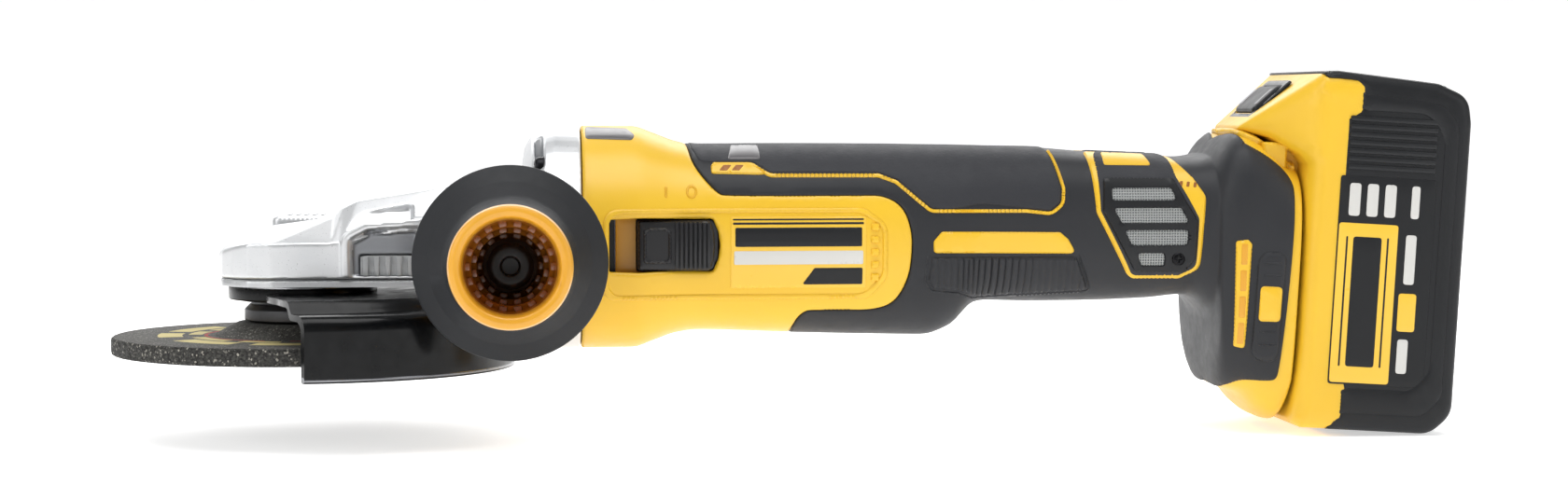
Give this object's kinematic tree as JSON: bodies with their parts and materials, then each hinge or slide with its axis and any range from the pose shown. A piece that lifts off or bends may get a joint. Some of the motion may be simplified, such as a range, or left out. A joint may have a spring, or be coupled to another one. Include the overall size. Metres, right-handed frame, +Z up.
{
  "type": "angle grinder",
  "caption": "Cordless angle grinder with a low flat head, guarded disc, barrel side handle, slide switch and a slide-on battery at the rear.",
  "frame": {"origin": "centre of the spindle's lower end face", "axes": "+X from the head to the battery, +Z up along the spindle towards the gear case, side handle towards -Y"},
  "size_m": [0.4485, 0.2361, 0.121],
  "materials": {
    "cast_metal": "satin, bead-blasted casting",
    "bright_steel": "machined",
    "chrome_steel": "bright",
    "black_steel": "gloss black",
    "black_plastic": "fine texture",
    "yellow_plastic": "fine satin texture",
    "grip_rubber": "textured",
    "copper_wire": "enamelled",
    "abrasive_grit": "coarse bonded grit",
    "clear_plastic": "clear",
    "cell_wrap": "shrink wrap",
    "board_green": "lacquered"
  },
  "bodies": {
    "tool": {"gear_case": "cast_metal", "gear_case_cover": "cast_metal", "spindle_bearing_lower": "bright_steel", "spindle_bearing_upper": "bright_steel", "idler_bearing_lower": "bright_steel", "idler_bearing_upper": "bright_steel", "motor_bearing_front": "bright_steel", "motor_bearing_rear": "bright_steel", "lock_spring": "bright_steel", "stator_core": "bright_steel", "bearing_cap": "chrome_steel", "gear_case_screw_1": "black_steel", "gear_case_screw_2": "black_steel", "gear_case_screw_3": "black_steel", "gear_case_screw_4": "black_steel", "filter_screw_left": "black_steel", "filter_screw_right": "black_steel", "shell_screw_1": "black_steel", "shell_screw_2": "black_steel", "shell_screw_3": "black_steel", "side_handle_stud": "black_steel", "filter_cover_left": "black_plastic", "filter_cover_right": "black_plastic", "controller_module": "black_plastic", "switch_module": "black_plastic", "terminal_block": "black_plastic", "motor_housing": "yellow_plastic", "side_handle_core": "yellow_plastic", "handle_shell_left": "grip_rubber", "handle_shell_right": "grip_rubber", "grip_sleeve_left": "grip_rubber", "grip_sleeve_right": "grip_rubber", "side_handle_grip": "grip_rubber", "stator_winding": "copper_wire", "vent_insert_left": "clear_plastic", "vent_insert_right": "clear_plastic"},
    "spindle_group": {"spindle": "bright_steel", "spindle_gear": "bright_steel", "inner_flange": "bright_steel", "grinding_disc": "abrasive_grit", "lock_nut": "black_steel"},
    "idler_group": {"idler_shaft": "bright_steel", "bevel_gear": "bright_steel", "idler_gear": "bright_steel"},
    "rotor_group": {"motor_shaft": "bright_steel", "rotor_core": "bright_steel", "cooling_fan": "black_plastic", "bevel_pinion": "bright_steel"},
    "switch_group": {"switch_slider": "black_plastic", "switch_rod": "bright_steel"},
    "lock_group": {"lock_button": "cast_metal"},
    "guard_group": {"guard": "black_steel", "guard_clamp_screw": "bright_steel"},
    "battery_group": {"battery_case_front": "yellow_plastic", "battery_case_rear": "black_plastic", "cell_pack": "cell_wrap", "battery_board": "board_green", "release_spring": "bright_steel"},
    "release_group": {"release_button": "black_plastic"},
    "gauge_group": {"gauge_button": "black_plastic"}
  },
  "joints": [
    {"name": "spindle_spin", "type": "hinge", "parent": "tool", "child": "spindle_group", "pos_m": [0, 0, 0], "axis": [0, 0, 1], "continuous": true},
    {"name": "idler_spin", "type": "hinge", "parent": "tool", "child": "idler_group", "pos_m": [0.041, 0, 0], "axis": [0, 0, 1], "continuous": true},
    {"name": "rotor_spin", "type": "hinge", "parent": "tool", "child": "rotor_group", "pos_m": [0.1, 0, 0.0371], "axis": [1, 0, 0], "continuous": true},
    {"name": "switch_slide", "type": "slide", "parent": "tool", "child": "switch_group", "axis": [-1, 0, 0], "range_m": [0, 0.0085]},
    {"name": "spindle_lock_press", "type": "slide", "parent": "tool", "child": "lock_group", "axis": [0, 0, -1], "range_m": [0, 0.0026], "stiffness_N_per_m": 800, "springref_m": -0.001, "deforming": ["lock_spring"]},
    {"name": "guard_turn", "type": "hinge", "parent": "tool", "child": "guard_group", "pos_m": [0, 0, 0.019], "axis": [0, 0, 1], "range_deg": [-90, 90]},
    {"name": "battery_slide", "type": "slide", "parent": "tool", "child": "battery_group", "axis": [0.0593, 0, 0.9982], "range_m": [0, 0.11]},
    {"name": "release_press", "type": "slide", "parent": "battery_group", "child": "release_group", "axis": [0.6639, 0, -0.7478], "range_m": [0, 0.0024], "stiffness_N_per_m": 800, "springref_m": -0.001},
    {"name": "gauge_press", "type": "slide", "parent": "battery_group", "child": "gauge_group", "axis": [-0.9982, 0, 0.0593], "range_m": [0, 0.001], "stiffness_N_per_m": 500, "springref_m": -0.0005}
  ],
  "couplings": [
    {"joint": "idler_spin", "follows": "spindle_spin", "ratio": -1},
    {"joint": "rotor_spin", "follows": "spindle_spin", "ratio": 3}
  ]
}
